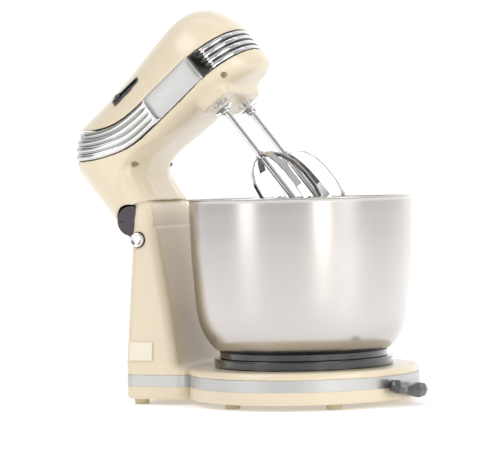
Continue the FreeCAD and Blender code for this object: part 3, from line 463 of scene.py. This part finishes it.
def rib_depth(t, x, kind):
    """How far the skin lies below the crests of the four ribs."""
    if kind == "front":
        fade = min(1.0, max(0.0, (x - PANEL_FRONT - 7.0) / 7.0))
    else:
        fade = min(1.0, max(0.0, (PANEL_REAR - 3.0 - x) / 9.0))
    fade = fade * fade * (3 - 2 * fade)
    edge = abs(2 * t - 1) ** 30 * 0.5
    return fade * RIB_DEPTH * max(from_crest(t) ** 2.6, edge) + TRIM_SINK


def make_trim(kind, material, groove_shade_material):
    """Ribbed piece of the band; its grooves, and the front piece's plain start, take a darker chrome
    as painted shade and painted dark reflection.
    """
    rows = band_rows(kind)
    made = grid_mesh(rows)
    made.verts.ensure_lookup_table()
    made.normal_update()
    width = len(rows[0])
    moves = []
    for index, vert in enumerate(made.verts):
        t = (index // width) / ACROSS
        outward = away_from_head(vert.co).normalized()
        normal = vert.normal if vert.normal.dot(outward) > 0 else -vert.normal
        moves.append(-normal * rib_depth(t, vert.co.x, kind))
    for vert, move in zip(made.verts, moves):
        vert.co += move
    thicken(made, away_from_head, TRIM_WALL)
    for face in made.faces:
        middle = face.calc_center_median()
        low, high = smooth_value(EDGE_LOW, middle.x), smooth_value(EDGE_HIGH, middle.x)
        across = from_crest((middle.z - low) / (high - low))
        # Painted shade: groove faces, and the front piece's first faces, get the darker chrome.
        if kind == "front":
            groove = across > 0.60 and middle.x > PANEL_FRONT + 14.0
            face.material_index = int(middle.x < PANEL_FRONT + 12.0 or groove)
        elif across > 0.72 and middle.x < PANEL_REAR - 6.0:
            face.material_index = 1
    piece = place_piece("trim_" + kind, made, material, "head", ["head_trim_" + kind])
    piece.data.materials.append(groove_shade_material)


def make_panel(side, label):
    """Plain panel of the band between the ribbed pieces."""
    made = grid_mesh(band_rows("middle", side))
    for vert in made.verts:
        vert.co.y -= side * 0.15
    thicken(made, away_from_head, TRIM_WALL)
    place_piece("panel_" + label, made, BRUSHED, "head",
                ["head_trim_panel_" + label])


# ---------------------------------------------------------------------------
# Head: lower housing with the neck, as one blended form
# ---------------------------------------------------------------------------
HINGE_X, HINGE_Z = -147.5, 162.2
NECK_FRONT = -119.8
BEATER_X, BEATER_Y = -17.5, 27.5
SCREWS = [(5.0, 201.0, 37.4), (-113.0, 199.0, 35.2)]
HOUSING_WALL = 2.4
RECESS_R = 2.6
SCREW_R = 1.4
POD_HOLE_R = 6.5
RECESS_DEPTH = 1.9
RECESS_CREST = (-105.0, 206.8)
MOUTH_LINE = [(-171.0, 135.0), (-147.5, 162.2), (-136.4, 170.5), (-114.0, 160.0), (-95.0, 152.0)]
MOUTH_GAP = 0.9
STATIONS = np.arange(-175.0, 45.0, 0.25)


def sampled(function):
    return np.array([function(x) for x in STATIONS])


LOW_AT = sampled(lambda x: profile_at(min(max(x, -166.0), 32.6))[0])
HIGH_AT = sampled(lambda x: profile_at(min(max(x, -166.0), 32.6))[1])
HALF_AT = sampled(plan_half)
BAND_AT = sampled(edge_curve(0.0))


def ease(value):
    value = np.clip(value, 0.0, 1.0)
    return value * value * (3 - 2 * value)


def recess_top(x):
    """Upper edge of the neck's sunken side: an arch, steep behind its crest and gentle ahead."""
    crest_x, crest_z = RECESS_CREST
    behind = 21.8 * (np.maximum(crest_x - x, 0) / 36.0) ** 2.3
    return crest_z - behind - 11.3 * ease((x - crest_x) / 50.0)


def steepness(function, x, y, z, reach=0.4):
    """Length of a function's gradient."""
    dx = function(x + reach, y, z) - function(x - reach, y, z)
    dy = function(x, y + reach, z) - function(x, y - reach, z)
    dz = function(x, y, z + reach) - function(x, y, z - reach)
    return np.sqrt(dx * dx + dy * dy + dz * dz) / (2 * reach)


def widest(x):
    """Half width of the head's straight-sided middle."""
    return 47.0 + 3.5 * np.clip((x + 130.0) / 115.0, 0.0, 1.0)


def head_measure(x, y, z):
    """Below zero inside the head's outer form."""
    low, high = np.interp(x, STATIONS, LOW_AT), np.interp(x, STATIONS, HIGH_AT)
    mid = np.minimum(225.0, low + 0.55 * (high - low))
    above = z >= mid
    power = np.where(above, 2.0, 3.4)
    q = np.abs(z - mid) / np.where(above, high - mid, mid - low)
    wide = widest(x)
    q = q ** power
    share = (np.interp(x, STATIONS, HALF_AT) / wide) ** power
    beyond = np.maximum(x - 32.8, 0) / 8.0 + np.maximum(-166.8 - x, 0) / 8.0
    return (np.abs(y) / wide) ** power - share * np.maximum(1 - q, 0) + np.maximum(q - 1, 0) + beyond


def plan_measure(x, y, z):
    """Below zero inside the plan of the head's rear half."""
    return (np.abs(y) / widest(x)) ** 2.6 + (np.maximum(-130.0 - x, 0) / 37.0) ** 2.6 - 1


def neck_measure(x, y, z):
    """Below zero inside the neck's plan."""
    return (np.abs(y) / 46.0) ** 2.6 + (np.maximum(-130.0 - x, 0) / 36.0) ** 2.6 - 1


def rounded_meet(a, b, radius):
    """Both of two forms, with a rounded edge between them."""
    a, b = a + radius, b + radius
    return np.minimum(np.maximum(a, b), 0) + np.hypot(np.maximum(a, 0), np.maximum(b, 0)) - radius


def blended(a, b, reach):
    """Either of two forms, with a fillet between them."""
    near = np.maximum(reach - np.abs(a - b), 0) / reach
    return np.minimum(a, b) - near * near * near * reach / 6


def block(side_x, side_y, radius):
    """Distance to a plan with rounded corners, from the distances past its inner sides."""
    outside = np.hypot(np.maximum(side_x, 0), np.maximum(side_y, 0))
    return outside + np.minimum(np.maximum(side_x, side_y), 0) - radius


def outer_form(x, y, z):
    """Signed distance, roughly, to the outside of the lower housing and neck."""
    head = head_measure(x, y, z) / np.maximum(steepness(head_measure, x, y, z), 0.004)
    plan = plan_measure(x, y, z) / np.maximum(steepness(plan_measure, x, y, z), 0.02)
    neck = neck_measure(x, y, z) / np.maximum(steepness(neck_measure, x, y, z), 0.02)
    neck = rounded_meet(neck, x - NECK_FRONT, 9.0)
    from_hinge = np.hypot(x - HINGE_X, z - HINGE_Z)
    neck = np.maximum(neck, np.minimum(HINGE_Z - z, from_hinge - 18.5))
    neck = np.maximum(neck, z - 212.0)
    form = blended(head, neck, 26.0)
    form = np.where(x < -60.0, np.maximum(form, plan), form)
    pod = block(np.abs(x - BEATER_X) - 5.0, np.abs(y) - 28.5, 12.0)
    pod = rounded_meet(pod, 188.1 - z, 3.5)
    pod = np.maximum(pod, z - 205.0)
    form = blended(form, pod, 9.0)
    below = (recess_top(x) - z) * 0.85
    side = ease((np.abs(y) - 20.0) / 14.0) * ease((x + 143.0) / 3.0) * ease((-44.0 - x) / 12.0)
    return form + RECESS_DEPTH * ease(below / 4.5) * side


def lower_housing(x, y, z):
    """Wall of the lower housing, open at the band and round the column."""
    form = outer_form(x, y, z) + 0.34
    cavity = form + HOUSING_WALL
    for sx, sz, seat in SCREWS:
        boss = np.maximum(np.hypot(x - sx, z - sz) - 4.6, seat - 1.6 - np.abs(y))
        cavity = np.maximum(cavity, -boss)
    wall = np.maximum(form, -cavity)
    for sx, sz, seat in SCREWS:
        from_screw = np.hypot(x - sx, z - sz)
        wall = np.maximum(wall, -np.maximum(from_screw - RECESS_R, seat - np.abs(y)))
        wall = np.maximum(wall, SCREW_R - from_screw)
    wall = np.maximum(wall, POD_HOLE_R - np.hypot(x - BEATER_X, np.abs(y) - BEATER_Y))
    line_x, line_z = zip(*MOUTH_LINE)
    above_line = (z - MOUTH_GAP - np.interp(x, line_x, line_z)) * 0.85
    mouth = np.minimum(above_line, np.hypot(x - HINGE_X, z - HINGE_Z) - 14.8)
    wall = np.maximum(wall, -mouth)
    return np.maximum(wall, (z - np.interp(x, STATIONS, BAND_AT) + 0.12) * 0.8)


def level_mesh(field, low, high, step):
    """Mesh of a field's zero level: one vertex in each crossed cell, slid onto the level."""
    axes = [np.arange(a, b + step, step) for a, b in zip(low, high)]
    values = field(*np.meshgrid(*axes, indexing="ij"))
    inside = values < 0
    cells = tuple(n - 1 for n in values.shape)
    total = np.zeros(cells + (3,))
    count = np.zeros(cells)
    for axis in range(3):
        for first in (0, 1):
            for second in (0, 1):
                start = [0, 0, 0]
                start[(axis + 1) % 3], start[(axis + 2) % 3] = first, second
                stop = list(start)
                stop[axis] += 1
                a = values[tuple(slice(s, s + n) for s, n in zip(start, cells))]
                b = values[tuple(slice(s, s + n) for s, n in zip(stop, cells))]
                crossed = (a < 0) != (b < 0)
                share = np.where(crossed, a / np.where(crossed, a - b, 1.0), 0.0)
                for k in range(3):
                    total[..., k] += np.where(crossed, start[k] + (share if k == axis else 0.0), 0.0)
                count += crossed
    used = count > 0
    number = np.full(cells, -1)
    number[used] = np.arange(used.sum())
    points = np.argwhere(used) + total[used] / count[used][:, None]
    points = np.array(low) + points * step
    faces = []
    for axis in range(3):
        b, c = (axis + 1) % 3, (axis + 2) % 3
        near, far = [slice(1, -1)] * 3, [slice(1, -1)] * 3
        near[axis], far[axis] = slice(0, -1), slice(1, None)
        here, there = inside[tuple(near)], inside[tuple(far)]
        for flip in (False, True):
            spots = np.argwhere((here & ~there) if not flip else (there & ~here))
            corners = []
            for db, dc in ((0, 0), (1, 0), (1, 1), (0, 1)):
                cell = spots.copy()
                cell[:, b] += db
                cell[:, c] += dc
                corners.append(number[cell[:, 0], cell[:, 1], cell[:, 2]])
            faces.append(np.stack(corners[::-1] if flip else corners, axis=1))
    for _ in range(3):
        x, y, z = points.T
        value = field(x, y, z)
        reach = 0.25
        slope = np.stack([field(x + reach, y, z) - field(x - reach, y, z),
                          field(x, y + reach, z) - field(x, y - reach, z),
                          field(x, y, z + reach) - field(x, y, z - reach)], axis=1) / (2 * reach)
        size = np.maximum((slope * slope).sum(axis=1), 0.25)
        move = np.clip(value / size, -0.35, 0.35)[:, None] * slope
        points = points - move
    return points, np.concatenate(faces)


def sculpted(name, field, low, high, step, material, body, replaced, closed=True):
    """Piece whose surface is a field's zero level, found in the box from low to high."""
    points, faces = level_mesh(field, low, high, step)
    mesh = bpy.data.meshes.new(name + "_form")
    mesh.from_pydata(points.tolist(), [], faces.tolist())
    made = bmesh.new()
    made.from_mesh(mesh)
    bpy.data.meshes.remove(mesh)
    place_piece(name, made, material, body, replaced, closed)


# ---------------------------------------------------------------------------
# Head: upper housing, the slider's slot and the beaters' collars
# ---------------------------------------------------------------------------
SLOT = (-77.0, -37.0, 254.0)
SLOT_TILT = math.radians(44.0)
SLOT_HALF = 12.7
SLOT_R = 4.3
UPPER_AT = sampled(edge_curve(1.0))


def upper_housing(x, y, z):
    """Wall of the upper housing with the cut for the slot's frame."""
    form = head_measure(x, y, z) / np.maximum(steepness(head_measure, x, y, z), 0.004) + 0.12
    wall = np.maximum(form, -(form + HOUSING_WALL))
    dy, dz = y - SLOT[1], z - SLOT[2]
    across = dy * math.cos(SLOT_TILT) + dz * math.sin(SLOT_TILT)
    cut = np.hypot(np.maximum(np.abs(x - SLOT[0]) - SLOT_HALF, 0), across) - SLOT_R
    wall = np.maximum(wall, -np.where(y < 0, cut, 9.0))
    return np.maximum(wall, (np.interp(x, STATIONS, UPPER_AT) + 0.12 - z) * 0.8)


def make_slot_frame():
    """Black frame that lines the slider's slot and stands just proud of the cream."""
    section = [(SLOT_R, 0.75), (4.0, 1.05), (3.2, 1.05), (2.9, 0.7), (2.9, -3.4), (SLOT_R, -3.4)]
    lean_y, lean_z = math.cos(SLOT_TILT), math.sin(SLOT_TILT)
    rows = []
    for step in range(64):
        turn = 2 * math.pi * (step + 0.5) / 64
        ring = []
        for reach, out in section + section[:1]:
            along = math.copysign(SLOT_HALF, math.cos(turn)) + reach * math.cos(turn)
            across = reach * math.sin(turn)
            ring.append((SLOT[0] + along, SLOT[1] + across * lean_y - out * lean_z,
                         SLOT[2] + across * lean_z + out * lean_y))
        rows.append(ring)
    rows.append(rows[0])
    made = grid_mesh(rows)
    weld(made)
    place_piece("slot_frame", made, BLACK, "head", ["speed_slot_bezel"])


def make_collar(side, label):
    """Disc on the beater's shaft with a nut-like hub below it."""
    profile = [(2.6, 186.9), (8.4, 186.7), (9.1, 186.3), (9.15, 185.9), (8.6, 185.5), (5.6, 185.2),
               (5.0, 184.8), (4.6, 183.6), (2.6, 183.2)]
    made = grid_mesh(turned(profile + profile[:1], 48))
    bmesh.ops.remove_doubles(made, verts=made.verts, dist=0.001)
    hub = bmesh.ops.create_cone(made, cap_ends=True, segments=6, radius1=4.7, radius2=4.7, depth=2.4,
                                matrix=Matrix.Translation((0, 0, 182.4)))
    bmesh.ops.bevel(made, geom=list({e for v in hub["verts"] for e in v.link_edges}), offset=0.35,
                    segments=2, affect="EDGES")
    bmesh.ops.recalc_face_normals(made, faces=made.faces)
    made.transform(Matrix.Translation((BEATER_X, side * BEATER_Y, -4.2)))
    place_piece("collar_" + label, made, COLLAR, label + "_spindle",
                ["beater_collar_" + label])


# ---------------------------------------------------------------------------
# Bowl
# ---------------------------------------------------------------------------
BOWL_WALL = [(60.0, 46.0), (70.0, 46.0), (76.0, 47.2), (80.5, 51.2), (85.3, 57.8), (89.8, 67.0),
             (93.0, 80.0), (95.4, 107.0), (97.3, 140.0), (98.1, 165.0), (98.3, 177.6)]


def through(points, count):
    """Smooth run of points through a list of pairs, evenly spread."""
    run, tables = 0.0, ([], [])
    for i, point in enumerate(points):
        if i:
            run += math.dist(points[i - 1], point)
        for table, value in zip(tables, point):
            table.append((run, value))
    return [tuple(smooth_value(table, run * k / count) for table in tables)
            for k in range(count + 1)]


def turned(profile, count):
    """Rows of points of a profile turned about the bowl's axis."""
    turns = [2 * math.pi * k / count for k in range(count + 1)]
    return [[(r * math.cos(turn), r * math.sin(turn), z) for turn in turns] for r, z in profile]


def make_bowl():
    """Thin steel bowl with a rolled rim."""
    outer = [(0.0, 46.0), (30.0, 46.0)] + through(BOWL_WALL, 90)
    rim = [(98.6, 178.6), (99.6, 179.1), (101.2, 179.2), (101.9, 179.5), (101.95, 179.9),
           (101.7, 180.3), (100.9, 180.45), (99.2, 180.4), (98.0, 180.1), (97.4, 179.4)]
    inner = [(r - 1.0, z + (1.0 if z < 48 else 0.3)) for r, z in through(BOWL_WALL, 90)]
    profile = outer + rim + inner[::-1] + [(30.0, 47.0), (0.0, 47.0)]
    made = grid_mesh(turned(profile, 192))
    weld(made)
    place_piece("mixing_bowl_skin", made, BOWL, "mixing_bowl", ["bowl"], closed=False)


# ---------------------------------------------------------------------------
# Base: deck, skirt and column as one form
# ---------------------------------------------------------------------------
BASE_R = 101.6
BUTTON_X, BUTTON_Y, BUTTON_Z = -138.3, -42.7, 145.4


def base_plan(x, y):
    """Distance to the base's plan: a round front and a rear block."""
    rear = block(np.abs(x + 118.5) - 20.5, np.abs(y) - 46.0, 11.0)
    return np.minimum(np.hypot(x, y) - BASE_R, rear)


def column_plan(x, y, z):
    """Distance to the column's tapered slab."""
    t = (z - 29.6) / 146.4
    rear, front, half = -150.0 + 5.2 * t, -97.0 - 28.8 * t, 56.0 - 14.0 * t
    corner = 8.0
    side_x = np.abs(x - (rear + front) / 2) - (front - rear) / 2 + corner
    return block(side_x, np.abs(y) - half + corner, corner)


def base_shell(x, y, z):
    """Hollow deck and column, open below, with the holes that the other parts go through."""
    from_hinge = np.hypot(x - HINGE_X, z - HINGE_Z)
    plan = base_plan(x, y)
    skirt = plan + 1.75 * (z < 26.35)
    deck = np.maximum(rounded_meet(skirt + 0.08, z - 32.45, 4.5), 16.5 - z)
    column = column_plan(x, y, z)
    upright = rounded_meet(column + 0.08, np.minimum(z - 157.0, from_hinge - 24.1), 2.5)
    upright = np.maximum(upright, 28.0 - z)
    form = np.maximum(blended(deck, upright, 12.0), skirt + 0.08)
    cavity = np.minimum(np.maximum(plan + 3.9, z - 29.4), np.maximum(column + 3.1, z - 170.9))
    wall = np.maximum(form, -cavity)
    wall = np.maximum(wall, -np.maximum(from_hinge - 14.2, np.abs(y) - 40.1))
    wall = np.maximum(wall, -np.maximum(np.hypot(x - BUTTON_X, z - BUTTON_Z) - 6.9, y + 36.0))
    wall = np.maximum(wall, 15.1 - np.hypot(x, np.maximum(np.abs(y) - 7.0, 0)))
    wall = np.maximum(wall, -np.maximum(np.hypot(y, z - 48.0) - 6.1, x + 144.0))
    post = np.maximum(np.hypot(x - 38.0, y) - 3.9, np.maximum(7.8 - z, z - 30.0))
    return np.minimum(wall, post)


# ---------------------------------------------------------------------------
# Button and finger lever
# ---------------------------------------------------------------------------
def faceted_lobe(start, end, widths, heights, count=6):
    """Six-sided lobe between two points, with its sizes given along the way."""
    made = bmesh.new()
    start, end = Vector(start), Vector(end)
    ahead = (end - start).normalized()
    across = ahead.cross(Vector((0, 0, 1))).normalized()
    up = across.cross(ahead)
    rings = []
    for (t, wide), (_, tall) in zip(widths, heights):
        centre = start + (end - start) * t
        ring = []
        for k in range(count):
            a = 2 * math.pi * k / count
            ring.append(made.verts.new(centre + across * (wide * math.cos(a))
                                       + up * (tall * math.sin(a) * 1.1)))
        rings.append(ring)
    for a, b in zip(rings, rings[1:]):
        for k in range(count):
            made.faces.new((a[k], a[(k + 1) % count], b[(k + 1) % count], b[k]))
    made.faces.new(rings[0][::-1])
    made.faces.new(rings[-1])
    bmesh.ops.recalc_face_normals(made, faces=made.faces)
    bmesh.ops.bevel(made, geom=made.edges[:], offset=0.45, segments=2, affect="EDGES", profile=0.6)
    return made


def make_button():
    """Round chrome button with a rounded rim and a dished face."""
    profile = [(0.0, 5.0), (2.0, 4.85), (3.6, 4.95), (4.6, 5.4), (5.2, 5.7), (5.8, 5.6), (6.25, 5.2),
               (6.45, 4.6), (6.5, 3.9), (6.5, 0.0), (0.0, 0.0)]
    made = grid_mesh(turned(profile, 64))
    weld(made)
    made.transform(Matrix.Translation((BUTTON_X, BUTTON_Y, BUTTON_Z))
                   @ Matrix.Rotation(math.pi / 2, 4, "X"))
    place_piece("button_cap", made, CHROME, "button", ["release_button"], closed=False)


def make_lever_handle():
    """Small raised lobe towards the button's side, a larger one towards the front."""
    near = faceted_lobe((105.0, -24.5, 13.6), (98.9, -46.2, 19.6),
                        [(0.0, 2.2), (0.25, 4.0), (0.62, 4.9), (0.9, 3.9), (1.0, 2.4)],
                        [(0.0, 2.2), (0.25, 4.6), (0.62, 6.3), (0.9, 5.2), (1.0, 3.2)])
    front = faceted_lobe((104.4, -27.5, 13.2), (110.5, 8.6, 11.6),
                         [(0.0, 2.0), (0.25, 3.4), (0.58, 4.4), (0.86, 4.0), (1.0, 2.4)],
                         [(0.0, 2.6), (0.25, 4.8), (0.58, 7.0), (0.86, 5.8), (1.0, 3.6)])
    mesh = bpy.data.meshes.new("lobe")
    near.to_mesh(mesh)
    near.free()
    front.from_mesh(mesh)
    bpy.data.meshes.remove(mesh)
    place_piece("lever_handle", front, BLACK, "lever", ["shift_lever_handle"],
                closed=False, smooth=False)


# ---------------------------------------------------------------------------
# The object, then the studio round it
# ---------------------------------------------------------------------------
make_trim("front", CHROME, GROOVE_SHADE_CHROME)
make_trim("rear", SATIN, REAR_GROOVE_SHADE)
make_panel(-1, "near")
make_panel(1, "far")
sculpted("lower_housing", lower_housing, (-168.6, -52.2, 142.0), (35.0, 52.2, 254.0), 1.2,
         CREAM, "head", ["head_lower_housing"])
sculpted("upper_housing", upper_housing, (-146.0, -52.2, 228.0), (34.8, 52.2, 280.4), 1.2,
         CREAM, "head", ["head_upper_housing"])
make_slot_frame()
make_collar(-1, "near")
make_collar(1, "far")
make_bowl()
sculpted("base_shell", base_shell, (-151.6, -103.2, 6.0), (103.2, 103.2, 189.0), 1.3,
         CREAM, "base", ["base_and_column_shell"], closed=False)
make_button()
make_lever_handle()

make_camera()
make_world()
make_floor()
area_light("key", (-1.0, -1.1, 1.9), (0, 0, 0.15), 1.5, 1.1, 15)
area_light("left_strip", (-0.98, -1.6, 0.5), (0.05, 0, 0.12), 0.6, 1.5, 4)
area_light("fill", (1.40, -1.40, 0.30), (-0.05, 0, 0.12), 0.45, 0.7, 3, (1.0, 0.95, 0.86))
area_light("right", (1.7, -0.6, 0.9), (0.05, 0, 0.12), 0.7, 1.3, 13)
area_light("backdrop", (0.2, 0.6, 1.9), (-0.6, 2.9, 0.9), 2.2, 0.8, 34)
bpy.context.scene.view_settings.view_transform = "Standard"
